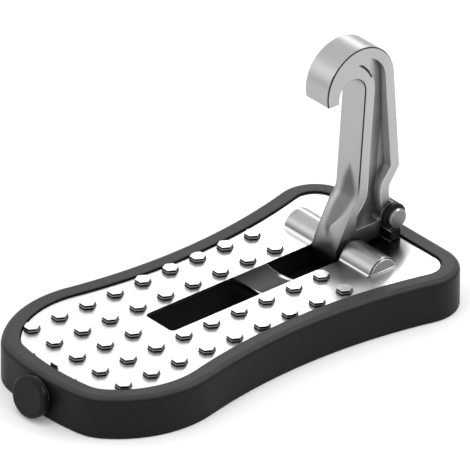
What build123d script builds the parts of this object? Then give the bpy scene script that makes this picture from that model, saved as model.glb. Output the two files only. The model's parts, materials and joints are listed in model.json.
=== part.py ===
from build123d import *

import os
from math import acos, asin, atan2, cos, degrees, hypot, radians, sin, sqrt, tan

# A folding step that hangs on a car door's striker loop.
#
# A black rubber surround grips a die-cast frame. A die-cast tread plate with hexagonal studs lies on
# the frame, a little below the surround's lip. A forged hook arm turns on a steel pin that is clamped
# between the plate's two humps and the frame. Upright, its heel rests on the plate. Folded, its head
# drops into the slot. A rubber pad wraps the heel, and a rubber cap covers a glass-breaking point.
#
# Millimetres. +X runs from the nose to the hinge end, +Z is up, and the ground is Z = 0. The origin
# is the middle of the whole length, cap included.

os.makedirs("parts", exist_ok=True)

# Footprint, seen from above
nose_length = 56.2  # from the nose to the slot
cap_proud = 6.6  # how far the cap stands out of the nose
nose_radius = 110.0
nose_corner_radius = 18.0
nose_corner_bearing = 137.3  # where the corner leaves the lobe, in degrees round the lobe's centre
lobe_half_width = 42.4  # front lobe, a circle on the centreline
rear_half_width = 44.3
waist_pinch = 6.3  # how much nearer the waist is than the lobe or the rear, whichever is narrower
rear_corner_radius = 15.6

# Rubber surround: a channel section that grips the frame's edge
body_height = 17.0
rim_width = 6.9
surround_wall = 3.6
lip_thickness = 3.6
top_edge_radius = 2.5
bottom_edge_radius = 0.8
lip_edge_radius = 0.4
seat_gap = 0.08  # between pieces of one body that lie against each other

# Tread plate
plate_drop = 0.9  # its top below the surround's lip
plate_thickness = 2.0
plate_edge_radius = 0.4
stud_pitch = 13.0
stud_radius = 3.2  # centre to corner
stud_height = 1.6
stud_draft = 7.0
stud_edge_margin = 0.5
first_stud_from_nose = 5.5
outer_row_studs = 9
inner_row_studs = 10
centre_row_studs = 4

# Hook arm, seen from the side: heights above the hinge axis, and how far behind or ahead of it
arm_width = 13.0
hinge_from_rear = 28.4
hinge_depth = 1.3  # axis below the plate's top
eye_radius = 8.3
head_behind = 4.4
head_height = 68.9
head_radius = 15.9
throat_behind = 0.3
throat_below_head = 1.9
throat_radius = 6.2
tip_below_head = 3.4
tip_edge_radius = 0.8
knee_behind = 23.2
knee_height = 29.7
knee_radius = 1.5
back_waist_behind = 18.1
back_waist_height = 22.4
back_waist_radius = 6.0
back_low_behind = 18.7
back_low_height = 16.5
back_low_radius = 3.0
web_behind = 14.6
web_height = 2.6
web_radius = 1.0
root_height = 3.7
flare_low_ahead = 6.6
flare_low_height = 12.2
flare_low_radius = 5.0
flare_top_behind = 3.25
flare_top_height = 23.0
flare_top_radius = 7.0
arm_edge_radius = 0.7
fold_angle = 92.0

# Pocket in each side of the arm: its floor slopes from the arm's face down to a back wall
pocket_rim = 4.3
pocket_depth = 4.2
pocket_floor_angle = 20.0
pocket_foot_height = 10.0
pocket_foot_behind = 2.0  # where the floor meets the arm's face, at the foot
pocket_lean = 5.7  # that line's lean from upright, in degrees
pocket_head_behind = 3.5

# Facet on each front edge of the flare: three corners, two on the side and one on the front
facet_top_behind = 3.7
facet_top_height = 26.3
facet_root_ahead = 7.4
facet_root_height = 4.0
facet_front_ahead = 6.9
facet_front_height = 10.8
facet_front_offset = 1.8  # from the arm's middle

# Heel pad and its cross pin
heel_behind = 19.1
heel_height = 10.4
heel_lug_radius = 4.1
pad_radius = 5.2
pad_cheek = 2.4
pad_foot_front = 15.7
pad_foot_rear = 20.8
pad_foot_height = 4.4
pad_foot_spread = 1.3  # how much wider than the cheeks, on each side
pad_edge_radius = 0.5
heel_pin_radius = 2.2
heel_head_radius = 3.95
heel_head_height = 1.8
heel_head_edge = 0.4
stop_gap = 0.3

# Hinge
pin_radius = 4.0
pin_play = 0.05
washer_thickness = 1.1
washer_radius = 6.2
side_play = 0.12
hump_radius = 6.8
hump_length = 16.6
hump_end_wall = 1.6
hump_foot_radius = 1.6
hump_edge = 0.7
hinge_block_wall = 3.2
pin_chamfer = 0.5

# Slot and the bridge across it
slot_end_gap = 1.3
slot_corner_radius = 2.0
slot_rear = 13.4  # behind the hinge axis
bridge_from_hinge = 28.6
bridge_length = 16.1
bridge_bow = 1.5  # how far the front window bulges into the bridge
dish_depth = 1.0

# Die-cast frame
frame_wall = 3.0
frame_deck = 2.4
frame_rib = 2.0
frame_foot = 1.0  # its underside above the ground
rib_height = 6.0
rib_count = 4
slot_wall = 2.2
ledge_length = 20.0
ledge_thickness = 3.2
eye_clearance = 0.6

# Screws that hold the plate, from below
screw_inset = 13.8  # from the body's outer edge
front_screw_bearing = 125.0  # round the lobe's centre, in degrees
screw_radius = 1.95
screw_play = 0.03
screw_head_radius = 3.6
screw_head_height = 2.4
screw_socket_radius = 1.6
screw_socket_depth = 1.3
screw_bite = 3.6
plate_boss_radius = 3.6
plate_boss_length = 5.0
tower_wall = 1.8
tower_floor = 2.0

# Glass-breaking point and its cap
point_radius = 2.5
point_proud = 2.2
point_tip_radius = 0.3
collar_radius = 3.6
collar_length = 3.0
shank_radius = 2.0
shank_length = 11.0
nose_boss_radius = 5.6
cap_half_width = 8.7
cap_half_height = 7.7
cap_edge_radius = 1.3
cap_rear_radius = 0.5
cap_slant = 13.0  # of the cap's face, which leans back at the top, in degrees
cap_neck_radius = 6.8
cap_neck_length = 1.4
stem_radius = 4.3
stem_length = 4.4
cap_cavity_radius = 2.9
cap_end_wall = 1.6
cap_play = 0.1
cap_height = 8.5


def bearing(start, end):
    """The direction from one point to another, in degrees."""
    return degrees(atan2(end[1] - start[1], end[0] - start[0]))


def outward(centre, radius, turn):
    """The point at a distance from a centre, in a direction."""
    return centre[0] + radius * cos(radians(turn)), centre[1] + radius * sin(radians(turn))


# Places that follow from the sizes above, lengthwise
arm_reach = hypot(head_behind, head_height) + head_radius
body_length = nose_length + slot_end_gap + arm_reach + hinge_from_rear
overall_length = body_length + cap_proud
nose_x = cap_proud - overall_length / 2
rear_x = overall_length / 2
slot_front_x = nose_x + nose_length
hinge_x = rear_x - hinge_from_rear
slot_rear_x = hinge_x + slot_rear
bridge_rear_x = hinge_x - bridge_from_hinge
bridge_front_x = bridge_rear_x - bridge_length

# Heights
plate_top = body_height - plate_drop
plate_under = plate_top - plate_thickness
deck_top = plate_under - seat_gap
deck_under = deck_top - frame_deck
flange_top = body_height - lip_thickness - seat_gap
hinge_z = plate_top - hinge_depth

# Widths
slot_half = arm_width / 2 + washer_thickness + 2 * side_play
hump_end = slot_half + hump_length
pin_half = hump_end - hump_end_wall - seat_gap
pad_half = arm_width / 2 + pad_cheek

# Centres of the outline's arcs: the nose corner touches the nose and the lobe, and the waist touches
# the lobe and the rear corner
waist_half_width = min(lobe_half_width, rear_half_width) - waist_pinch
nose_centre = (nose_x + nose_radius, 0)
corner_offset = (lobe_half_width - nose_corner_radius) * sin(radians(nose_corner_bearing))
corner_centre = (
    nose_centre[0] - sqrt((nose_radius - nose_corner_radius) ** 2 - corner_offset**2),
    corner_offset,
)
lobe_centre = (corner_centre[0] - corner_offset / tan(radians(nose_corner_bearing)), 0)
rear_centre = (rear_x - rear_corner_radius, rear_half_width - rear_corner_radius)
lobe_rise = lobe_half_width - waist_half_width
rear_rise = rear_half_width - waist_half_width
waist_span = rear_centre[0] - lobe_centre[0]
waist_slant = lobe_rise / rear_rise - 1
waist_reach = waist_span**2 - lobe_rise * (lobe_half_width - rear_corner_radius + rear_centre[1])
waist_run = waist_reach / (waist_span + sqrt(waist_span**2 + waist_slant * waist_reach))
waist_radius = (waist_run**2 / rear_rise - rear_corner_radius - waist_half_width + rear_centre[1]) / 2
waist_centre = (rear_centre[0] - waist_run, waist_half_width + waist_radius)

# Screws: round the lobe, at the waist and at the rear corners
screw_corners = (
    outward(lobe_centre, lobe_half_width - screw_inset, front_screw_bearing),
    (waist_centre[0], waist_half_width - screw_inset),
    rear_centre,
)
screw_places = [(x, side * y) for x, y in screw_corners for side in (-1, 1)]

first_stud_x = nose_x + first_stud_from_nose
stud_places = [
    (first_stud_x + stud_pitch * (column + skip), stud_pitch * row)
    for row, skip, count in (
        (-2, 1, outer_row_studs),
        (-1, 0, inner_row_studs),
        (0, 0, centre_row_studs),
        (1, 0, inner_row_studs),
        (2, 1, outer_row_studs),
    )
    for column in range(count)
]

# Points of the arm, seen from the side about the hinge axis
head_centre = (head_behind, head_height)
throat_centre = (throat_behind, head_height - throat_below_head)
knee = (knee_behind, knee_height)
back_waist = (back_waist_behind, back_waist_height)
back_low = (back_low_behind, back_low_height)
heel_centre = (heel_behind, heel_height)
flare_low = (-flare_low_ahead, flare_low_height)
flare_top = (flare_top_behind, flare_top_height)
root_x = -sqrt(eye_radius**2 - root_height**2)

side_plane = Plane(origin=(hinge_x, 0, hinge_z), x_dir=(1, 0, 0), z_dir=(0, -1, 0))
nose_plane = Plane(origin=(nose_x, 0, cap_height), x_dir=(-1, 0, 0), z_dir=(0, 1, 0))
inward_plane = Plane(origin=(nose_x, 0, cap_height), x_dir=(0, 1, 0), z_dir=(1, 0, 0))
cross_plane = Plane(origin=(bridge_front_x, 0, plate_top), x_dir=(0, 1, 0), z_dir=(1, 0, 0))
nose_axis = Axis((nose_x, 0, cap_height), (1, 0, 0))
ledge_top = (
    hinge_z + root_x * sin(radians(fold_angle)) + root_height * cos(radians(fold_angle)) - stop_gap
)
collar_front = stem_length + cap_play + seat_gap

# The cap's slanted face: where it would meet the cap's lowest line without its rounded edge
slant = radians(cap_slant)
cap_corner = cap_proud + cap_edge_radius * (tan(slant) + 1 / cos(slant) - 1)
cap_cavity_end = cap_corner - (cap_half_height + cap_cavity_radius) * tan(slant) - cap_end_wall


def arc(centre, radius, start, end):
    """An arc about a centre between two directions."""
    return CenterArc(centre, radius, start, end - start)


def tangent(point, centre, radius, side):
    """Where a line from a point touches a circle, and the direction of that place from its centre."""
    distance = hypot(point[0] - centre[0], point[1] - centre[1])
    turn = bearing(centre, point) + side * degrees(acos(radius / distance))
    return outward(centre, radius, turn), turn


def footprint(inset):
    """The body's outline seen from above, moved inwards."""
    with BuildSketch() as outline:
        with BuildLine():
            arc(nose_centre, nose_radius, 180, bearing(nose_centre, corner_centre))
            arc(
                corner_centre,
                nose_corner_radius,
                bearing(nose_centre, corner_centre),
                bearing(lobe_centre, corner_centre),
            )
            arc(
                lobe_centre,
                lobe_half_width,
                bearing(lobe_centre, corner_centre),
                bearing(lobe_centre, waist_centre),
            )
            arc(
                waist_centre,
                waist_radius,
                bearing(waist_centre, lobe_centre),
                bearing(waist_centre, rear_centre),
            )
            arc(rear_centre, rear_corner_radius, bearing(rear_centre, waist_centre), 0)
            Line((rear_x, rear_centre[1]), (rear_x, 0))
            mirror(about=Plane.XZ)
        make_face()
        if inset > 0:
            offset(amount=-inset)
    return outline.sketch


def bridge_strip():
    """The bridge across the slot, seen from above, with a bow in its front edge."""
    with BuildSketch() as strip:
        with BuildLine():
            ThreePointArc(
                (bridge_front_x, -slot_half),
                (bridge_front_x + bridge_bow, 0),
                (bridge_front_x, slot_half),
            )
            Polyline(
                (bridge_front_x, slot_half),
                (bridge_rear_x, slot_half),
                (bridge_rear_x, -slot_half),
                (bridge_front_x, -slot_half),
            )
        make_face()
    return strip.sketch


def slot_opening():
    """The whole slot seen from above."""
    with BuildSketch() as opening:
        with Locations(((slot_front_x + slot_rear_x) / 2, 0)):
            RectangleRounded(slot_rear_x - slot_front_x, 2 * slot_half, slot_corner_radius)
    return opening.sketch


def windows():
    """What the bridge leaves open of the slot."""
    with BuildSketch() as opening:
        add(slot_opening())
        add(bridge_strip(), mode=Mode.SUBTRACT)
    return opening.sketch


def arm_outline():
    """The hook arm seen from the side, about the hinge axis."""
    head_back, back_turn = tangent(knee, head_centre, head_radius, 1)
    throat_front, throat_turn = tangent(flare_top, throat_centre, throat_radius, 1)
    lug_top, lug_turn = tangent(back_low, heel_centre, heel_lug_radius, -1)
    tip_turn = 180 + degrees(asin(tip_below_head / head_radius))
    mouth_turn = 180 + degrees(asin((tip_below_head - throat_below_head) / throat_radius))
    root_turn = 180 - degrees(asin(root_height / eye_radius))
    lug_bottom = heel_centre[1] - heel_lug_radius

    with BuildSketch() as outline:
        with BuildLine():
            head = arc(head_centre, head_radius, tip_turn, back_turn)
            FilletPolyline(
                head @ 1,
                knee,
                back_waist,
                back_low,
                lug_top,
                radius=(knee_radius, back_waist_radius, back_low_radius),
            )
            lug = arc(heel_centre, heel_lug_radius, lug_turn, -90)
            FilletPolyline(
                lug @ 1,
                (web_behind, lug_bottom),
                (web_behind, web_height),
                (eye_radius, web_height),
                (eye_radius, 0),
                radius=web_radius,
            )
            eye = arc((0, 0), eye_radius, 0, root_turn - 360)
            FilletPolyline(
                eye @ 1,
                flare_low,
                flare_top,
                throat_front,
                radius=(flare_low_radius, flare_top_radius),
            )
            throat = arc(throat_centre, throat_radius, throat_turn, mouth_turn)
            Line(throat @ 1, head @ 0)
        make_face()
        fillet(outline.vertices().sort_by_distance(head @ 0)[0], tip_edge_radius)
    return outline.sketch


# Edge surround
with BuildPart() as edge_surround:
    with BuildSketch():
        add(footprint(0))
    extrude(amount=body_height)
    fillet(edge_surround.faces().sort_by(Axis.Z)[-1].edges(), top_edge_radius)
    fillet(edge_surround.faces().sort_by(Axis.Z)[0].edges(), bottom_edge_radius)
    with BuildSketch():
        add(footprint(rim_width))
    extrude(amount=body_height, mode=Mode.SUBTRACT)
    fillet(edge_surround.faces().sort_by(Axis.Z)[-1].inner_wires()[0].edges(), lip_edge_radius)
    with BuildSketch(Plane.XY.offset(frame_foot - seat_gap)):
        add(footprint(surround_wall))
    extrude(amount=flange_top + 2 * seat_gap - frame_foot, mode=Mode.SUBTRACT)
    with BuildSketch(inward_plane):
        Circle(stem_radius + cap_play)
    extrude(amount=rim_width, mode=Mode.SUBTRACT)

edge_surround.part.label = "edge_surround"
export_step(edge_surround.part, "parts/edge_surround.step")

# Tread plate: the flat plate with its slot, its bridge, its humps and its studs
dish_radius = (slot_half**2 + dish_depth**2) / (2 * dish_depth)
with BuildPart() as tread_plate:
    with BuildSketch(Plane.XY.offset(plate_under)):
        add(footprint(rim_width + seat_gap))
        add(windows(), mode=Mode.SUBTRACT)
    extrude(amount=plate_thickness)
    fillet(tread_plate.faces().sort_by(Axis.Z)[-1].outer_wire().edges(), plate_edge_radius)
    with BuildSketch(cross_plane):
        with Locations((0, dish_radius - dish_depth)):
            Circle(dish_radius + plate_thickness)
        with Locations((0, -plate_thickness - dish_depth)):
            Rectangle(2 * slot_half, 2 * (plate_thickness + dish_depth), mode=Mode.INTERSECT)
    extrude(amount=bridge_length)
    with BuildSketch(cross_plane):
        with Locations((0, dish_radius - dish_depth)):
            Circle(dish_radius)
    extrude(amount=bridge_length, mode=Mode.SUBTRACT)
    with BuildSketch(Plane.XY.offset(plate_under - plate_thickness)):
        add(windows())
    extrude(amount=2 * plate_thickness, mode=Mode.SUBTRACT)

    # Humps over the hinge pin, with a flared foot and a chamfered outer end
    for side, start in ((1, slot_half), (-1, -slot_half)):
        with BuildSketch(side_plane.offset(start)) as hump:
            Circle(hump_radius)
            with Locations((0, plate_top - hinge_z - plate_thickness / 2)):
                Rectangle(2 * (hump_radius + 2 * hump_foot_radius), plate_thickness)
            with Locations((0, plate_under - hinge_z - hump_radius)):
                Rectangle(2 * hump_radius, 2 * hump_radius, mode=Mode.SUBTRACT)
            foot_corners = hump.vertices().filter_by(
                lambda corner: abs(abs(corner.X) - hump_radius) < hump_foot_radius / 2
                and corner.Y > plate_top - hinge_z - stop_gap
            )
            fillet(foot_corners, hump_foot_radius)
        extrude(amount=side * (hump_length - hump_edge))
        with BuildSketch(side_plane.offset(start + side * (hump_length - hump_edge))):
            Circle(hump_radius)
            with Locations((0, plate_under - hinge_z - hump_radius)):
                Rectangle(2 * hump_radius, 2 * hump_radius, mode=Mode.SUBTRACT)
        extrude(amount=side * hump_edge, taper=45)
    with BuildSketch(side_plane):
        Circle(pin_radius + pin_play)
    extrude(amount=pin_half + seat_gap, both=True, mode=Mode.SUBTRACT)

    # Bosses that the screws bite into
    with BuildSketch(Plane.XY.offset(plate_under - plate_boss_length)):
        with Locations(screw_places):
            Circle(plate_boss_radius)
    extrude(amount=plate_boss_length)
    with BuildSketch(Plane.XY.offset(plate_under - plate_boss_length)):
        with Locations(screw_places):
            Circle(screw_radius + screw_play)
    extrude(amount=screw_bite + seat_gap, mode=Mode.SUBTRACT)

    # Studs, cut off where they would reach under the surround
    with BuildSketch(Plane.XY.offset(plate_top)):
        with Locations(stud_places):
            RegularPolygon(stud_radius, 6, rotation=30)
        add(footprint(rim_width + seat_gap + stud_edge_margin), mode=Mode.INTERSECT)
    extrude(amount=stud_height, taper=stud_draft)

tread_plate.part.label = "tread_plate"
export_step(tread_plate.part, "parts/tread_plate.step")

# Cast frame
tower_radius = plate_boss_radius + seat_gap + tower_wall
tower_seat = plate_under - plate_boss_length - seat_gap - tower_floor
with BuildPart() as cast_frame:
    with BuildSketch(Plane.XY.offset(frame_foot)):
        add(footprint(surround_wall + seat_gap))
    extrude(amount=flange_top - frame_foot)
    with BuildSketch(Plane.XY.offset(flange_top)):
        add(footprint(rim_width + seat_gap))
    extrude(amount=deck_top - flange_top)
    with BuildSketch(Plane.XY.offset(frame_foot)):
        add(footprint(surround_wall + seat_gap + frame_wall))
    extrude(amount=deck_under - frame_foot, mode=Mode.SUBTRACT)

    # Ribs across the underside, walls beside the slot, the bridge, the hinge block and the towers
    with BuildSketch(Plane.XY.offset(deck_under)):
        with GridLocations(body_length / rib_count, 0, rib_count, 1):
            Rectangle(frame_rib, 2 * lobe_half_width)
        add(footprint(surround_wall + frame_wall), mode=Mode.INTERSECT)
    extrude(amount=-rib_height)
    with BuildSketch(Plane.XY.offset(frame_foot)):
        with Locations(((slot_front_x + slot_rear_x) / 2, 0)):
            Rectangle(slot_rear_x - slot_front_x + 2 * slot_wall, 2 * (slot_half + slot_wall))
    extrude(amount=deck_under - frame_foot)
    with BuildSketch(Plane.XY.offset(deck_under - rib_height)):
        with Locations((hinge_x, 0)):
            Rectangle(2 * (pin_radius + hinge_block_wall), 2 * hump_end)
    extrude(amount=rib_height)
    with BuildSketch(Plane.XY.offset(frame_foot)):
        with Locations(screw_places):
            Circle(tower_radius)
        add(footprint(surround_wall + seat_gap), mode=Mode.INTERSECT)
    extrude(amount=deck_under - frame_foot)
    with BuildSketch(inward_plane.offset(rim_width + seat_gap)):
        Circle(nose_boss_radius)
    extrude(amount=collar_front + collar_length + shank_length - rim_width)

    # The slot, the ledge that the folded arm stops on, and the bridge under the plate's own
    with BuildSketch(Plane.XY.offset(frame_foot)):
        add(slot_opening())
    extrude(amount=body_height, mode=Mode.SUBTRACT)
    with BuildSketch(Plane.XY.offset(ledge_top)):
        with Locations((hinge_x - ledge_length / 2, 0)):
            Rectangle(ledge_length, 2 * slot_half)
    extrude(amount=-ledge_thickness)
    with BuildSketch(cross_plane):
        with Locations((0, -plate_thickness - seat_gap - dish_depth - frame_deck / 2)):
            Rectangle(2 * (slot_half + slot_wall), frame_deck + 2 * dish_depth)
        with Locations((0, dish_radius - dish_depth)):
            Circle(dish_radius + plate_thickness + seat_gap, mode=Mode.SUBTRACT)
    extrude(amount=bridge_length)
    with BuildSketch(Plane.XY.offset(frame_foot)):
        add(windows())
        with Locations((hinge_x + ledge_length, 0)):
            Rectangle(4 * ledge_length, 2 * slot_half, mode=Mode.SUBTRACT)
    extrude(amount=body_height, mode=Mode.SUBTRACT)
    with BuildSketch(side_plane):
        Circle(eye_radius + eye_clearance)
    extrude(amount=slot_half, both=True, mode=Mode.SUBTRACT)

    # Pin groove, sockets for the plate's bosses and seats for the screw heads
    with BuildSketch(side_plane):
        Circle(pin_radius + pin_play)
    extrude(amount=pin_half + seat_gap, both=True, mode=Mode.SUBTRACT)
    with BuildSketch(Plane.XY.offset(tower_seat + tower_floor)):
        with Locations(screw_places):
            Circle(plate_boss_radius + seat_gap)
    extrude(amount=body_height, mode=Mode.SUBTRACT)
    with BuildSketch(Plane.XY.offset(frame_foot)):
        with Locations(screw_places):
            Circle(screw_head_radius + 2 * seat_gap)
    extrude(amount=tower_seat - frame_foot, mode=Mode.SUBTRACT)
    with BuildSketch(Plane.XY.offset(tower_seat)):
        with Locations(screw_places):
            Circle(screw_radius + seat_gap)
    extrude(amount=tower_floor, mode=Mode.SUBTRACT)

    # Stepped bore for the cap's stem and for the glass-breaking point
    for radius, depth in (
        (stem_radius + cap_play, stem_length + cap_play),
        (collar_radius + seat_gap, collar_front + collar_length),
        (shank_radius + screw_play, collar_front + collar_length + shank_length),
    ):
        with BuildSketch(inward_plane):
            Circle(radius)
        extrude(amount=depth, mode=Mode.SUBTRACT)

cast_frame.part.label = "cast_frame"
export_step(cast_frame.part, "parts/cast_frame.step")

# What the arm's side pocket takes away
floor_slope = radians(pocket_floor_angle)
floor_lean = radians(pocket_lean)
floor_plane = Plane(
    origin=side_plane.from_local_coords((pocket_foot_behind, pocket_foot_height, arm_width / 2)),
    x_dir=(sin(floor_lean), 0, cos(floor_lean)),
    z_dir=(sin(floor_slope) * cos(floor_lean), -cos(floor_slope), -sin(floor_slope) * sin(floor_lean)),
)
with BuildPart() as pocket_core:
    with BuildSketch(side_plane.offset(arm_width / 2)):
        add(arm_outline())
        offset(amount=-pocket_rim)
        with Locations((0, 0)):
            Rectangle(8 * eye_radius, 2 * pocket_foot_height, mode=Mode.SUBTRACT)
        with Locations((pocket_head_behind - head_radius, head_height)):
            Rectangle(2 * head_radius, 2 * head_radius, mode=Mode.SUBTRACT)
    extrude(amount=-pocket_depth)
    split(bisect_by=floor_plane, keep=Keep.TOP)

# Hook arm
with BuildPart() as hook_arm:
    with BuildSketch(side_plane):
        add(arm_outline())
    extrude(amount=arm_width / 2, both=True)
    fillet(hook_arm.faces().filter_by(Axis.Y).edges(), arm_edge_radius)
    for side in (1, -1):
        top = Vector(facet_top_behind, facet_top_height, side * arm_width / 2)
        root = Vector(-facet_root_ahead, facet_root_height, side * arm_width / 2)
        front = Vector(-facet_front_ahead, facet_front_height, side * facet_front_offset)
        outside = (front - top).cross(root - top) * side
        facet = side_plane * Plane(origin=top, x_dir=Vector(0, 1, 0).cross(outside), z_dir=outside)
        with BuildSketch(facet):
            with Locations((0, -arm_width)):
                Rectangle(4 * arm_width, 2 * arm_width)
        extrude(amount=arm_width, mode=Mode.SUBTRACT)
    add(pocket_core.part, mode=Mode.SUBTRACT)
    add(pocket_core.part.mirror(Plane.XZ), mode=Mode.SUBTRACT)
    with BuildSketch(side_plane):
        Circle(pin_radius + pin_play)
    extrude(amount=arm_width, both=True, mode=Mode.SUBTRACT)
    with BuildSketch(side_plane):
        with Locations(heel_centre):
            Circle(heel_pin_radius + pin_play)
    extrude(amount=arm_width, both=True, mode=Mode.SUBTRACT)

hook_arm.part.label = "hook_arm"
export_step(hook_arm.part, "parts/hook_arm.step")

# Hinge pin
with BuildPart() as hinge_pin:
    with BuildSketch(side_plane):
        Circle(pin_radius)
    extrude(amount=pin_half, both=True)
    chamfer(hinge_pin.edges(), pin_chamfer)

hinge_pin.part.label = "hinge_pin"
export_step(hinge_pin.part, "parts/hinge_pin.step")

# Washers between the arm and the humps
for name, start in (("washer_left", -slot_half + side_play), ("washer_right", arm_width / 2 + side_play)):
    with BuildPart() as washer:
        with BuildSketch(side_plane.offset(start)):
            Circle(washer_radius)
            Circle(pin_radius + pin_play, mode=Mode.SUBTRACT)
        extrude(amount=washer_thickness)
    washer.part.label = name
    export_step(washer.part, "parts/" + name + ".step")

# Heel pad: rubber that wraps the arm's heel and stands on the plate
pad_foot = plate_top - hinge_z + stop_gap
pad_foot_middle = ((pad_foot_front + pad_foot_rear) / 2, pad_foot + pad_foot_height / 2)
with BuildPart() as heel_pad:
    with BuildSketch(side_plane):
        with Locations(heel_centre):
            Circle(pad_radius)
        with Locations(pad_foot_middle):
            Rectangle(
                pad_foot_rear - pad_foot_front - 2 * pad_edge_radius,
                heel_height - pad_foot_middle[1],
                align=(Align.CENTER, Align.MIN),
            )
    extrude(amount=pad_half, both=True)
    fillet(heel_pad.faces().filter_by(Axis.Y).edges(), pad_edge_radius)
    with BuildSketch(side_plane):
        with Locations(pad_foot_middle):
            Rectangle(pad_foot_rear - pad_foot_front, pad_foot_height)
    extrude(amount=pad_half + pad_foot_spread, both=True)
    fillet(heel_pad.faces().sort_by(Axis.Y)[0].edges(), pad_edge_radius)
    fillet(heel_pad.faces().sort_by(Axis.Y)[-1].edges(), pad_edge_radius)
    with BuildSketch(side_plane):
        add(arm_outline())
        offset(amount=seat_gap)
    extrude(amount=arm_width / 2 + seat_gap, both=True, mode=Mode.SUBTRACT)
    with BuildSketch(side_plane):
        with Locations(heel_centre):
            Circle(heel_pin_radius + pin_play)
    extrude(amount=pad_half + seat_gap, both=True, mode=Mode.SUBTRACT)

heel_pad.part.label = "heel_pad"
export_step(heel_pad.part, "parts/heel_pad.step")

# Heel pin, with its head on the right and a washer on its other end
pin_end = pad_half + seat_gap
with BuildPart() as heel_pin:
    with BuildSketch(side_plane.offset(pin_end)):
        with Locations(heel_centre):
            Circle(heel_head_radius)
    extrude(amount=heel_head_height)
    chamfer(heel_pin.faces().sort_by(Axis.Y)[0].edges(), heel_head_edge)
    with BuildSketch(side_plane.offset(-pin_end - washer_thickness)):
        with Locations(heel_centre):
            Circle(heel_pin_radius)
    extrude(amount=2 * pin_end + washer_thickness)

heel_pin.part.label = "heel_pin"
export_step(heel_pin.part, "parts/heel_pin.step")

with BuildPart() as heel_pin_washer:
    with BuildSketch(side_plane.offset(-pin_end - washer_thickness)):
        with Locations(heel_centre):
            Circle(heel_head_radius)
            Circle(heel_pin_radius + screw_play, mode=Mode.SUBTRACT)
    extrude(amount=washer_thickness)

heel_pin_washer.part.label = "heel_pin_washer"
export_step(heel_pin_washer.part, "parts/heel_pin_washer.step")

# Plate screws
with BuildPart() as plate_screws:
    with BuildSketch(Plane.XY.offset(tower_seat)):
        with Locations(screw_places):
            Circle(screw_head_radius)
    extrude(amount=-screw_head_height)
    with BuildSketch(Plane.XY.offset(tower_seat)):
        with Locations(screw_places):
            Circle(screw_radius)
    extrude(amount=tower_floor + seat_gap + screw_bite)
    with BuildSketch(Plane.XY.offset(tower_seat - screw_head_height)):
        with Locations(screw_places):
            RegularPolygon(screw_socket_radius, 6)
    extrude(amount=screw_socket_depth, mode=Mode.SUBTRACT)

plate_screws.part.label = "plate_screws"
export_step(plate_screws.part, "parts/plate_screws.step")

# Glass-breaking point
with BuildPart() as hammer_point:
    with BuildSketch(nose_plane):
        with BuildLine():
            Polyline(
                (-collar_front - collar_length - shank_length, 0),
                (-collar_front - collar_length - shank_length, shank_radius),
                (-collar_front - collar_length, shank_radius),
                (-collar_front - collar_length, collar_radius),
                (-collar_front, collar_radius),
                (-collar_front, point_radius),
                (point_proud, point_tip_radius),
                (point_proud, 0),
                close=True,
            )
        make_face()
    revolve(axis=nose_axis)

hammer_point.part.label = "hammer_point"
export_step(hammer_point.part, "parts/hammer_point.step")

# Hammer cap
with BuildPart() as hammer_cap:
    with BuildSketch(nose_plane):
        with BuildLine():
            Polyline(
                (-stem_length, 0),
                (-stem_length, stem_radius),
                (cap_play, stem_radius),
                (cap_play, cap_neck_radius),
                (cap_neck_length, cap_neck_radius),
                (cap_neck_length, 0),
                close=True,
            )
        make_face()
    revolve(axis=nose_axis)
    with BuildSketch(inward_plane.offset(-cap_neck_length)):
        Ellipse(cap_half_width, cap_half_height)
    extrude(amount=cap_neck_length - cap_corner)
    with BuildSketch(nose_plane):
        with BuildLine():
            Polyline(
                (cap_corner, -cap_half_height),
                (cap_corner + cap_half_height, -cap_half_height),
                (cap_corner + cap_half_height, 2 * cap_half_height),
                (cap_corner - 3 * cap_half_height * tan(slant), 2 * cap_half_height),
                close=True,
            )
        make_face()
    extrude(amount=2 * cap_half_width, both=True, mode=Mode.SUBTRACT)
    fillet(hammer_cap.faces().sort_by(Axis.X)[0].edges(), cap_edge_radius)
    cap_back = (nose_x - cap_neck_length, 0, cap_height + cap_half_height)
    fillet(hammer_cap.edges().sort_by_distance(cap_back)[0], cap_rear_radius)
    with BuildSketch(inward_plane.offset(stem_length)):
        Circle(cap_cavity_radius)
    extrude(amount=-stem_length - cap_cavity_end, mode=Mode.SUBTRACT)

hammer_cap.part.label = "hammer_cap"
export_step(hammer_cap.part, "parts/hammer_cap.step")
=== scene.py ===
import json
from math import radians

import bmesh
import bpy
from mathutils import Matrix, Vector


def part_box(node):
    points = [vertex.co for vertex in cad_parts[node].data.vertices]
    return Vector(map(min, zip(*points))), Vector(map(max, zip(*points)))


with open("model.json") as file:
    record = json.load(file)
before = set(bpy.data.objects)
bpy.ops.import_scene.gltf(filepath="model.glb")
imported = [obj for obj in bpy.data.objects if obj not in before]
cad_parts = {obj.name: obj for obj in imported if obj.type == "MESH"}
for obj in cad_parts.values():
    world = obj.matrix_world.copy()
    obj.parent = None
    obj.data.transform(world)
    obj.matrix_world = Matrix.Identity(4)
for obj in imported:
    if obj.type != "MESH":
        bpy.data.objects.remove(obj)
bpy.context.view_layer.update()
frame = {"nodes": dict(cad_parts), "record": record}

# A folding step for a car door's striker loop: a black rubber surround, a bright studded tread with
# a bridge across its slot, and a satin hook arm. Metres, with the nose at -X and the ground at Z = 0.

mm = 0.001

# Places and sizes of the CAD that the finishes follow
hinge = Vector(frame["record"]["behaviour"]["joints"][0]["pos_m"])
lip_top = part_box("edge_surround")[1].z
lip_height = 0.9 * mm
stud_height = 1.6 * mm
plate_top = lip_top - lip_height
stud_top = plate_top + stud_height
slot_half = 7.84 * mm
bridge_front = hinge.x - 44.7 * mm
bridge_rear = hinge.x - 28.6 * mm
hump_reach = 9.5 * mm

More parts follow.
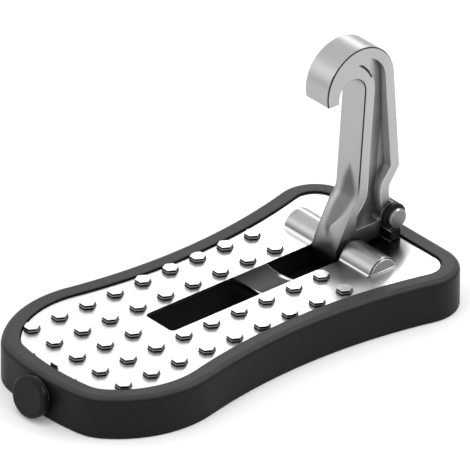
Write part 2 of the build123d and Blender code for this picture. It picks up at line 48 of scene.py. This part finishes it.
# Camera: it looks down on the nose end from the front left, from far off
camera_azimuth = radians(-40.02)
camera_elevation = radians(30.24)
view_width = 0.1705
camera_lens = 800.0
camera_sensor = 36.0
clip_distances = 4
aim_from_hinge = Vector((-0.04625, 0.00449, 0.02126))

# Studio
floor_reach = 1.6
floor_colour = (0.93, 0.93, 0.93, 1.0)
floor_lift = 0.1
sky_colour = (1.0, 1.0, 1.0)
horizon_colour = (0.55, 0.55, 0.55)
horizon_fade = (-0.05, 0.35)

# Lamps: the direction that each shines from, its power in watts and its side in metres
lamp_distance = 1.0
lamps = {
    "crest_lamp": ((0.71, 0.66, 0.47), 0.5, 0.16),
    "top_lamp": ((-0.35, 0.03, 0.93), 0.8, 0.2),
    "front_lamp": ((-0.60, 0.66, 0.45), 0.7, 0.5),
    "side_lamp": ((0.55, -0.5, 0.65), 2.0, 0.3),
}


def grey(level, blue=0.0):
    """A grey, with a little more blue where that is given."""
    return level, level, level + blue


# Grained finishes: the darkest tone and the lightest one
# The rubber's sides are painted darker as shade, and its rim is painted lighter as lit over its matt grain
shaded_side_rubber = grey(0.004, 0.001), grey(0.013, 0.001)
lit_grained_rim_rubber = grey(0.016, 0.001), grey(0.075, 0.001)
fine_rubber = grey(0.003, 0.001), grey(0.009, 0.001)
bright_plate = grey(0.86, 0.01), grey(0.97, 0.005)
# The bridge's tones are painted shade and dark reflection
shaded_bridge = grey(0.015, 0.001), grey(0.055, 0.001)
satin_hump = grey(0.30, 0.005), grey(0.56, 0.005)
cast_frame = grey(0.003), grey(0.009)
satin_arm = grey(0.37, 0.005), grey(0.52, 0.005)
plain_steel = grey(0.14, 0.005), grey(0.30, 0.005)

# Other tones of the rubber
# Painted shade in the rubber's corners
rubber_corner_shade = grey(0.003)
lip_shadow = grey(0.002)
# Painted highlights along the heel pad's and the nose cap's edges
heel_highlight = grey(0.85)
cap_highlight = grey(0.25)

# Other tones of the tread
# Painted shade on the studs' flanks: black rings with a grey band between
stud_shade = grey(0.004)
stud_grey = grey(0.26)
# Painted shade on the slot's walls, deepest at the bottom
slot_deep_shade = grey(0.004)
slot_upper_shade = grey(0.05)
# Painted shade in the tread's corners
plate_corner_shade = grey(0.005)
# Painted shade and dark reflection of the arm on the plate
pale_painted_shade = grey(0.22, 0.002)
deep_painted_shade = grey(0.07)
# Painted shade on the humps' flanks and end faces
hump_flank_shade = grey(0.16, 0.002)
hump_end_shade = grey(0.1, 0.001)
# A painted lighter near side of the bridge, and painted highlights along its ends
bridge_near_light = grey(0.07, 0.001)
bridge_highlight = grey(0.85, 0.005)

# Other tones of the arm and of the steel
# Painted shade and dark reflection round the hinge and up the flare
arm_painted_shade = grey(0.07, 0.001)
# Painted shade at the arm's root by the slot
arm_root_shade = grey(0.015)
# Painted shade in the arm's corners
arm_corner_shade = grey(0.06, 0.001)
# Painted dark lines of shade along the arm's edges and by its throat
arm_shade_line = grey(0.03, 0.001)
# A painted highlight on the pocket's rim
pocket_highlight = grey(0.95, 0.005)
# Painted highlights along the edges of the humps and of the steel parts
metal_highlight = grey(0.9)

# Depth of the bumps' relief
bump_depth = 0.1 * mm


def link(obj):
    bpy.context.scene.collection.objects.link(obj)
    return obj


def camera():
    """The camera at the angle, the height and the framing of the view that is matched."""
    data = bpy.data.cameras.new("camera")
    data.lens = camera_lens
    data.sensor_width = camera_sensor
    obj = link(bpy.data.objects.new("camera", data))
    obj.rotation_euler = (radians(90) - camera_elevation, 0, camera_azimuth)
    bpy.context.view_layer.update()
    back = obj.rotation_euler.to_matrix() @ Vector((0, 0, 1))
    distance = view_width * camera_lens / camera_sensor
    obj.location = hinge + aim_from_hinge + back * distance
    data.clip_end = clip_distances * distance
    bpy.context.scene.camera = obj


# Node helpers


def feed(tree, socket, value):
    """Links an output to a socket, or sets the socket to a value."""
    if isinstance(value, bpy.types.NodeSocket):
        tree.links.new(value, socket)
    else:
        socket.default_value = value


def feed_named(tree, node, values):
    """Feeds a node's sockets by name, with _ for a space."""
    for name, value in values.items():
        feed(tree, node.inputs[name.replace("_", " ")], value)


def put(tree, kind, setup=None, **values):
    """A node with its settings and its sockets."""
    node = tree.nodes.new("ShaderNode" + kind)
    for name, value in (setup or {}).items():
        setattr(node, name, value)
    feed_named(tree, node, values)
    return node


def maths(tree, operation, *values, clamp=False):
    """A Math node's result."""
    node = put(tree, "Math", {"operation": operation, "use_clamp": clamp})
    for socket, value in zip(node.inputs, values):
        feed(tree, socket, value)
    return node.outputs[0]


def blend_colour(tree, mask, low, high):
    """A colour that goes from low to high with a mask."""
    node = put(tree, "Mix", {"data_type": "RGBA"})
    feed(tree, node.inputs["Factor"], mask)
    for socket, colour in ((node.inputs[6], low), (node.inputs[7], high)):
        feed(tree, socket, (*colour, 1.0) if isinstance(colour, tuple) else colour)
    return node.outputs[2]


def coated(tree, colour, *coats):
    """A colour with others laid over it, each where its mask says."""
    for mask, coat in coats:
        colour = blend_colour(tree, mask, colour, coat)
    return colour


def axes(tree, vector):
    """The X, Y and Z parts of a vector."""
    return put(tree, "SeparateXYZ", Vector=vector).outputs.values()


def facing(tree):
    """The X, Y and Z parts of the surface's direction."""
    return axes(tree, put(tree, "NewGeometry").outputs["Normal"])


def apart(tree, value, middle=0.0):
    """How far a value is from a middle one."""
    return maths(tree, "ABSOLUTE", maths(tree, "SUBTRACT", value, middle))


def share(tree, value, middle, reach):
    """How far a value is from a middle one, as a share of a reach."""
    return maths(tree, "DIVIDE", maths(tree, "SUBTRACT", value, middle), reach)


def squared(tree, value):
    return maths(tree, "MULTIPLY", value, value)


def overlap(tree, mask, *others):
    """A mask that holds where all of its masks hold."""
    for other in others:
        mask = maths(tree, "MULTIPLY", mask, other)
    return mask


def either(tree, first, second):
    """A mask that holds where one of its masks holds."""
    return maths(tree, "MAXIMUM", first, second)


def step(tree, value, none, full):
    """A smooth mask: 0 at one value, 1 at another, which may be the lower one."""
    smooth = {"interpolation_type": "SMOOTHSTEP"}
    return put(tree, "MapRange", smooth, Value=value, From_Min=none, From_Max=full).outputs["Result"]


def band(tree, value, start, full, fading, end):
    """A smooth mask that is 1 between two values and 0 outside two others."""
    return overlap(tree, step(tree, value, start, full), step(tree, value, end, fading))


def patch(tree, x, y, centre, reach):
    """A soft round patch about a centre in plan: 1 inside, 0 outside its reach."""
    edge_limits = 1.0, 0.15
    along, across = (squared(tree, share(tree, *each)) for each in zip((x, y), centre, reach))
    return step(tree, maths(tree, "ADD", along, across), *edge_limits)


def new_group(name, inputs, outputs):
    """An empty node group with named sockets: its tree, its inputs and its outputs."""
    tree = bpy.data.node_groups.new(name, "ShaderNodeTree")
    for label, kind, value in inputs:
        socket = tree.interface.new_socket(label, in_out="INPUT", socket_type="NodeSocket" + kind)
        if value is not None:
            socket.default_value = value
    for label, kind in outputs:
        tree.interface.new_socket(label, in_out="OUTPUT", socket_type="NodeSocket" + kind)
    start = tree.nodes.new("NodeGroupInput")
    end = tree.nodes.new("NodeGroupOutput")
    return tree, start.outputs, end.inputs


def use(tree, group, **values):
    """The outputs of a node group placed in a material, with its own values."""
    node = tree.nodes.new("ShaderNodeGroup")
    node.node_tree = group
    feed_named(tree, node, values)
    return node.outputs


def new_material(name):
    """A material with its tree, its shader and the place of each point in the object."""
    material = bpy.data.materials.new(name)
    material.use_nodes = True
    tree = material.node_tree
    place = tree.nodes.new("ShaderNodeTexCoord").outputs["Object"]
    return material, tree, tree.nodes["Principled BSDF"], place


def toned(tree, skin, tones):
    """The colour of a grained finish."""
    return blend_colour(tree, skin["Shade"], *tones)


def rough(tree, shade, least, span):
    """A roughness that rises from the least by a span with a shade."""
    return maths(tree, "MULTIPLY_ADD", shade, span, least)


def relief(tree, height, strength, **normal):
    """A fine bump."""
    return put(tree, "Bump", Strength=strength, Distance=bump_depth, Height=height, **normal).outputs[0]


# Effects that several finishes share


def grain_group():
    """Fine grain with slow blotches: a shade about 0.5, and a height."""
    tree, given, result = new_group(
        "moulded_grain",
        (
            ("Place", "Vector", None),
            ("Fine Scale", "Float", 2500.0),
            ("Blotch Scale", "Float", 90.0),
            ("Blotch Share", "Float", 0.5),
        ),
        (("Shade", "Float"), ("Height", "Float")),
    )
    place = given["Place"]
    fine = put(tree, "TexNoise", Vector=place, Scale=given["Fine Scale"], Detail=3.0, Roughness=0.6)
    blotch = put(tree, "TexNoise", Vector=place, Scale=given["Blotch Scale"], Detail=4.0)
    slow = maths(tree, "MULTIPLY", blotch.outputs[0], given["Blotch Share"])
    fine_share = maths(tree, "SUBTRACT", 1.0, given["Blotch Share"])
    quick = maths(tree, "MULTIPLY", fine.outputs[0], fine_share)
    feed(tree, result["Shade"], maths(tree, "ADD", slow, quick))
    feed(tree, result["Height"], fine.outputs[0])
    return tree


def highlight_edge_group():
    """Edges for painted highlights: 1 on an outer edge, 0 on flat faces, broken up by noise."""
    tree, given, result = new_group(
        "highlight_edge",
        (("Place", "Vector", None), ("Width", "Float", 0.0005), ("Breaks", "Float", 0.3)),
        (("Edge", "Float"),),
    )
    turned_limits = 0.995, 0.9
    rounded = put(tree, "Bevel", {"samples": 6}, Radius=given["Width"])
    plain = put(tree, "NewGeometry")
    likeness = put(tree, "VectorMath", {"operation": "DOT_PRODUCT"})
    feed(tree, likeness.inputs[0], rounded.outputs[0])
    feed(tree, likeness.inputs[1], plain.outputs["Normal"])
    turned = step(tree, likeness.outputs["Value"], *turned_limits)
    noise = put(tree, "TexNoise", Vector=given["Place"], Scale=900.0, Detail=3.0)
    broken = maths(tree, "MULTIPLY", noise.outputs[0], given["Breaks"])
    feed(tree, result["Edge"], maths(tree, "SUBTRACT", turned, broken, clamp=True))
    return tree


def crevice_group():
    """Painted shade in corners: 1 where other surfaces stand close, 0 in the open."""
    tree, given, result = new_group(
        "crevice_shade",
        (("Reach", "Float", 0.002), ("Depth", "Float", 1.0)),
        (("Corner Shade", "Float"),),
    )
    openness = put(tree, "AmbientOcclusion", {"samples": 8}, Distance=given["Reach"])
    shut = maths(tree, "SUBTRACT", 1.0, openness.outputs["AO"])
    feed(tree, result["Corner Shade"], maths(tree, "MULTIPLY", shut, given["Depth"], clamp=True))
    return tree


grain = grain_group()
highlight_edges = highlight_edge_group()
crevice = crevice_group()

# Limits that a mask goes by: of two, it is 0 at the first and 1 at the second, and of four, it is 1
# between the middle two and 0 beyond the outer two. Limits on the surface's direction are parts of
# a unit vector, so 1 is straight along the axis.


def surround_rubber():
    """Black moulded rubber: sides painted darker as shade, a grained rim painted lighter as lit, painted
    shade in its corners, and a painted black shadow on the lip's inner wall.
    """
    rim_limits = lip_top - 1.5 * mm, lip_top - 0.4 * mm
    lip_limits = plate_top - 0.1 * mm, plate_top
    upright_limits = 0.5, 0.3
    material, tree, shader, place = new_material("surround_rubber")
    z = axes(tree, place)[2]
    up = facing(tree)[2]
    skin = use(tree, grain, Place=place, Fine_Scale=1500.0, Blotch_Scale=120.0, Blotch_Share=0.35)
    joint_shade = use(tree, crevice, Reach=1.2 * mm, Depth=1.6)
    rim = step(tree, z, *rim_limits)
    lip_wall = overlap(tree, step(tree, up, *upright_limits), step(tree, z, *lip_limits))
    colour = coated(
        tree,
        toned(tree, skin, shaded_side_rubber),
        (rim, toned(tree, skin, lit_grained_rim_rubber)),
        (joint_shade["Corner Shade"], rubber_corner_shade),
        (lip_wall, lip_shadow),
    )
    feed_named(tree, shader, {
        "Base Color": colour,
        "Roughness": rough(tree, skin["Shade"], least=0.3, span=0.25),
        "Specular IOR Level": 0.14,
        "Normal": relief(tree, maths(tree, "MULTIPLY", skin["Height"], rim), strength=0.35),
    })
    return material


def small_rubber(name, highlight_tone):
    """Smooth black rubber of the heel pad or the nose cap, with painted highlights along its edges."""
    material, tree, shader, place = new_material(name)
    skin = use(tree, grain, Place=place, Fine_Scale=1800.0, Blotch_Scale=200.0, Blotch_Share=0.5)
    edge = use(tree, highlight_edges, Place=place, Width=0.4 * mm, Breaks=0.4)
    feed_named(tree, shader, {
        "Base Color": coated(tree, toned(tree, skin, fine_rubber), (edge["Edge"], highlight_tone)),
        "Roughness": 0.34,
        "Specular IOR Level": 0.16,
        "Normal": relief(tree, skin["Height"], strength=0.12),
    })
    return material


def plate_with_painted_shade(tree, skin, x, y, z):
    """The bright plate, with painted shade and dark reflection of the arm ahead of the near hump and behind
    it.
    """
    flat_limits = plate_top + 0.4 * mm, plate_top + 0.2 * mm
    ahead_centre, ahead_reach = (hinge.x - 8.5 * mm, -12.5 * mm), (15.0 * mm, 19.0 * mm)
    behind_centre, behind_reach = (hinge.x + 11.0 * mm, -7.0 * mm), (16.0 * mm, 21.5 * mm)
    flat = step(tree, z, *flat_limits)
    ahead = overlap(tree, patch(tree, x, y, ahead_centre, ahead_reach), flat)
    behind = overlap(tree, patch(tree, x, y, behind_centre, behind_reach), flat)
    return coated(tree, toned(tree, skin, bright_plate), (ahead, pale_painted_shade), (behind, deep_painted_shade))


def hump_satin_and_shade(tree, skin, place, side, up):
    """The humps over the hinge pin: satin, with painted shade on flanks and end faces and painted
    highlights along their edges.
    """
    flank_limits = 0.8, 0.1
    end_limits = 0.25, 0.5
    edge = use(tree, highlight_edges, Place=place, Width=0.5 * mm, Breaks=0.1)
    return coated(
        tree,
        toned(tree, skin, satin_hump),
        (step(tree, up, *flank_limits), hump_flank_shade),
        (step(tree, side, *end_limits), hump_end_shade),
        (edge["Edge"], metal_highlight),
    )


def bridge_shading(tree, skin, x, y):
    """The bridge in painted shade and dark reflection, painted lighter towards its near side, with painted
    highlights along its ends there.
    """
    near_limits = 6.0 * mm, -8.0 * mm
    highlight_limits = 0.5 * mm, -2.5 * mm
    middle = 0.5 * (bridge_front + bridge_rear)
    half = 0.5 * (bridge_rear - bridge_front)
    end_limits = half - 1.7 * mm, half - 1.2 * mm
    near_highlights = overlap(tree, step(tree, apart(tree, x, middle), *end_limits), step(tree, y, *highlight_limits))
    return coated(
        tree,
        toned(tree, skin, shaded_bridge),
        (step(tree, y, *near_limits), bridge_near_light),
        (near_highlights, bridge_highlight),
    )


def bridge_mask(tree, x, y):
    """Where the bridge is, from end to end and from wall to wall of the slot."""
    softness = 0.2 * mm
    wall_limits = slot_half + 0.1 * mm, slot_half - 0.3 * mm
    end_limits = (
        bridge_front - softness,
        bridge_front + softness,
        bridge_rear - softness,
        bridge_rear + softness,
    )
    return overlap(tree, band(tree, x, *end_limits), step(tree, apart(tree, y), *wall_limits))


def stud_flank_shading(tree, z):
    """The studs' flanks in painted shade: black at the foot and under the top edge, grey between."""
    foot_limits = plate_top + 0.6 * mm, plate_top + 0.4 * mm
    head_limits = stud_top - 0.8 * mm, stud_top - 0.6 * mm
    rings = either(tree, step(tree, z, *foot_limits), step(tree, z, *head_limits))
    return blend_colour(tree, rings, stud_grey, stud_shade)


def polished_tread():
    """Bright die-cast tread: polished on top, with painted shade on the studs' flanks, the slot's walls and
    the bridge.
    """
    hinge_limits = hump_reach - 0.4 * mm, hump_reach
    hump_limits = plate_top + 0.2 * mm, plate_top + 0.8 * mm
    stud_limits = 0.992, 0.95
    upright_limits = 0.6, 0.3
    below_limits = plate_top - 0.2 * mm, plate_top - 0.5 * mm
    depth_limits = plate_top - 2.2 * mm, plate_top - 0.8 * mm
    material, tree, shader, place = new_material("polished_tread")
    x, y, z = axes(tree, place)
    _, sideways, up = facing(tree)
    skin = use(tree, grain, Place=place, Fine_Scale=1200.0, Blotch_Scale=60.0, Blotch_Share=0.6)
    joint_shade = use(tree, crevice, Reach=0.5 * mm, Depth=2.0)

    off_hinge = step(tree, apart(tree, x, hinge.x), *hinge_limits)
    on_hump = overlap(tree, step(tree, z, *hump_limits), maths(tree, "SUBTRACT", 1.0, off_hinge))
    on_bridge = bridge_mask(tree, x, y)
    on_stud = overlap(tree, step(tree, up, *stud_limits), off_hinge)
    on_wall = overlap(tree, step(tree, z, *below_limits), step(tree, up, *upright_limits))
    colour = coated(
        tree,
        plate_with_painted_shade(tree, skin, x, y, z),
        (on_hump, hump_satin_and_shade(tree, skin, place, apart(tree, sideways), up)),
        (on_bridge, bridge_shading(tree, skin, x, y)),
        (on_stud, stud_flank_shading(tree, z)),
        (on_wall, blend_colour(tree, step(tree, z, *depth_limits), slot_deep_shade, slot_upper_shade)),
        (joint_shade["Corner Shade"], plate_corner_shade),
    )
    polished = rough(tree, skin["Shade"], least=0.24, span=0.14)
    feed_named(tree, shader, {
        "Base Color": colour,
        "Metallic": 1.0,
        "Roughness": rough(tree, either(tree, on_bridge, on_stud), least=polished, span=0.15),
        "Normal": relief(tree, skin["Height"], strength=0.06),
    })
    return material


def dark_casting():
    """The frame inside the surround: rough, dark and nearly black in the slot."""
    material, tree, shader, place = new_material("dark_casting")
    skin = use(tree, grain, Place=place, Fine_Scale=1100.0, Blotch_Scale=80.0, Blotch_Share=0.5)
    feed_named(tree, shader, {
        "Base Color": toned(tree, skin, cast_frame),
        "Roughness": 0.55,
        "Specular IOR Level": 0.1,
        "Normal": relief(tree, skin["Height"], strength=0.3),
    })
    return material


def cheek_shade(tree, y, z, side):
    """Painted shade on the arm's cheeks round the hinge, faint inside the pockets."""
    cheek_limits = 0.4, 0.8
    height_limits = hinge.z + 27 * mm, hinge.z + 6 * mm
    outer_limits = 4.0 * mm, 5.8 * mm
    in_pocket = 0.05
    added_outside = 0.85
    outer = maths(tree, "MULTIPLY_ADD", step(tree, apart(tree, y), *outer_limits), added_outside, in_pocket)
    return overlap(tree, step(tree, side, *cheek_limits), step(tree, z, *height_limits), outer)


def tongue_reflection(tree, y, z, side, ahead):
    """A tongue of painted dark reflection up the front of the flare, widest at mid height."""
    front_limits = 0.4, 0.15
    reach_limits = 1.2, 0.5
    middle = -0.8 * mm
    half_width = 4.6 * mm
    mid_height = hinge.z + 21.5 * mm
    half_height = 14.0 * mm
    strength = 0.8
    aside = maths(tree, "DIVIDE", apart(tree, y, middle), half_width)
    reach = maths(tree, "ADD", aside, squared(tree, share(tree, z, mid_height, half_height)))
    tongue = overlap(tree, step(tree, reach, *reach_limits), step(tree, side, *front_limits), ahead)
    return maths(tree, "MULTIPLY", tongue, strength)


def edge_line(tree, z, side):
    """A painted dark line of shade along the arm's rounded edges, above its flare."""
    turn_limits = 0.25, 0.4, 0.85, 0.93
    height_limits = hinge.z + 20 * mm, hinge.z + 30 * mm
    return overlap(tree, band(tree, side, *turn_limits), step(tree, z, *height_limits))


def throat_line(tree, x, z, side):
    """A short dark arc of painted shade standing in for a crease, on each side of the head, behind the
    throat and above it.
    """
    centre_x = hinge.x - 5.65 * mm
    centre_z = hinge.z + 65.09 * mm
    radius = 16.3 * mm
    width_limits = 0.6 * mm, 0.3 * mm
    height_limits = 5.8 * mm, 7.2 * mm, 12.8 * mm, 13.8 * mm
    rear_limits = 0.0, 1.0 * mm
    flat_limits = 0.93, 0.97
    across = maths(tree, "SUBTRACT", x, centre_x)
    upward = maths(tree, "SUBTRACT", z, centre_z)
    distance = maths(tree, "SQRT", maths(tree, "ADD", squared(tree, across), squared(tree, upward)))
    return overlap(
        tree,
        step(tree, apart(tree, distance, radius), *width_limits),
        band(tree, upward, *height_limits),
        step(tree, across, *rear_limits),
        step(tree, side, *flat_limits),
    )


def lit_pocket_rim(tree, place, x, z, side):
    """A painted highlight on the pocket's rim at its lower end."""
    rear_limits = hinge.x + 0.5 * mm, hinge.x + 2.5 * mm
    height_limits = hinge.z + 6 * mm, hinge.z + 9 * mm, hinge.z + 28 * mm, hinge.z + 32 * mm
    flat_limits = 0.8, 0.95
    edge = use(tree, highlight_edges, Place=place, Width=0.7 * mm, Breaks=0.3)
    return overlap(
        tree,
        step(tree, x, *rear_limits),
        band(tree, z, *height_limits),
        step(tree, side, *flat_limits),
        edge["Edge"],
    )


def flowing_normal(tree, flare):
    """The surface's direction, shaded round over the creases of the forged flare."""
    rounded = put(tree, "Bevel", {"samples": 12}, Radius=4.5 * mm)
    node = put(tree, "Mix", {"data_type": "VECTOR"})
    feed(tree, node.inputs["Factor"], flare)
    feed(tree, node.inputs[4], put(tree, "NewGeometry").outputs["Normal"])
    feed(tree, node.inputs[5], rounded.outputs[0])
    return node.outputs[1]


def satin_casting():
    """The forged arm: satin grey, with painted shade and dark reflection round the hinge, painted dark
    lines along its rounded edges, and a painted highlight on the pocket's rim.
    """
    root_limits = hinge.z + 12 * mm, hinge.z + 1 * mm
    root_strength = 0.97
    ahead_limits = -0.15, -0.4
    flare_limits = hinge.z + 30 * mm, hinge.z + 24 * mm
    material, tree, shader, place = new_material("satin_casting")
    x, y, z = axes(tree, place)
    forward, sideways, _ = facing(tree)
    side = apart(tree, sideways)
    ahead = step(tree, forward, *ahead_limits)
    skin = use(tree, grain, Place=place, Fine_Scale=1600.0, Blotch_Scale=70.0, Blotch_Share=0.6)
    corner_shade = use(tree, crevice, Reach=1.2 * mm, Depth=0.6)
    painted_dark = either(tree, cheek_shade(tree, y, z, side), tongue_reflection(tree, y, z, side, ahead))
    # Painted shade at the root, darkest by the slot
    root_shade = maths(tree, "MULTIPLY", step(tree, z, *root_limits), root_strength)
    shade_lines = either(tree, edge_line(tree, z, side), throat_line(tree, x, z, side))
    colour = coated(
        tree,
        toned(tree, skin, satin_arm),
        (painted_dark, arm_painted_shade),
        (root_shade, arm_root_shade),
        (corner_shade["Corner Shade"], arm_corner_shade),
        (shade_lines, arm_shade_line),
        (lit_pocket_rim(tree, place, x, z, side), pocket_highlight),
    )
    normal = flowing_normal(tree, overlap(tree, step(tree, z, *flare_limits), ahead))
    feed_named(tree, shader, {
        "Base Color": colour,
        "Metallic": 1.0,
        "Roughness": rough(tree, skin["Shade"], least=0.32, span=0.12),
        "Normal": relief(tree, skin["Height"], strength=0.08, Normal=normal),
    })
    return material


def turned_steel():
    """Pins, washers and screws: turned steel, with painted highlights along its edges."""
    material, tree, shader, place = new_material("turned_steel")
    skin = use(tree, grain, Place=place, Fine_Scale=2200.0, Blotch_Scale=300.0, Blotch_Share=0.4)
    edge = use(tree, highlight_edges, Place=place, Width=0.4 * mm, Breaks=0.3)
    feed_named(tree, shader, {
        "Base Color": coated(tree, toned(tree, skin, plain_steel), (edge["Edge"], metal_highlight)),
        "Metallic": 1.0,
        "Roughness": 0.3,
        "Normal": relief(tree, skin["Height"], strength=0.1),
    })
    return material


def stage():
    """A white floor that keeps the object's shadow."""
    mesh = bpy.data.meshes.new("floor")
    work = bmesh.new()
    bmesh.ops.create_grid(work, x_segments=1, y_segments=1, size=floor_reach)
    work.to_mesh(mesh)
    work.free()
    floor = link(bpy.data.objects.new("floor", mesh))
    material, tree, shader, _ = new_material("floor_paper")
    seen = tree.nodes.new("ShaderNodeLightPath").outputs["Is Camera Ray"]
    feed_named(tree, shader, {
        "Base Color": floor_colour,
        "Roughness": 1.0,
        "Specular IOR Level": 0.0,
        "Emission Color": (1.0, 1.0, 1.0, 1.0),
        "Emission Strength": maths(tree, "MULTIPLY", seen, floor_lift),
    })
    mesh.materials.append(material)


def studio_world():
    """A bright dome that darkens towards the horizon, plain white where the camera sees it."""
    world = bpy.data.worlds.new("studio")
    world.use_nodes = True
    tree = world.node_tree
    background = tree.nodes["Background"]
    up = axes(tree, tree.nodes.new("ShaderNodeTexCoord").outputs["Generated"])[2]
    dome = blend_colour(tree, step(tree, up, *horizon_fade), horizon_colour, sky_colour)
    seen = tree.nodes.new("ShaderNodeLightPath").outputs["Is Camera Ray"]
    feed(tree, background.inputs["Color"], blend_colour(tree, seen, dome, sky_colour))
    background.inputs["Strength"].default_value = 1.0
    bpy.context.scene.world = world
    bpy.context.scene.view_settings.view_transform = "Standard"


def lamp(name, direction, energy, size):
    """A square lamp that shines on the object from a direction."""
    data = bpy.data.lights.new(name, "AREA")
    data.energy = energy
    data.size = size
    obj = link(bpy.data.objects.new(name, data))
    obj.location = Vector(direction).normalized() * lamp_distance
    obj.rotation_euler = Vector(direction).to_track_quat("Z", "Y").to_euler()


def finish_nodes(material, *names):
    """Gives CAD nodes their finish."""
    for name in names:
        for slot in frame["nodes"][name].material_slots:
            slot.material = material


camera()
stage()
studio_world()
for lamp_name, lamp_setting in lamps.items():
    lamp(lamp_name, *lamp_setting)

finish_nodes(surround_rubber(), "edge_surround")
finish_nodes(small_rubber("heel_rubber", heel_highlight), "heel_pad")
finish_nodes(small_rubber("cap_rubber", cap_highlight), "hammer_cap")
finish_nodes(polished_tread(), "tread_plate")
finish_nodes(dark_casting(), "cast_frame")
finish_nodes(satin_casting(), "hook_arm")
finish_nodes(
    turned_steel(),
    "heel_pin",
    "heel_pin_washer",
    "hinge_pin",
    "washer_left",
    "washer_right",
    "plate_screws",
    "hammer_point",
)
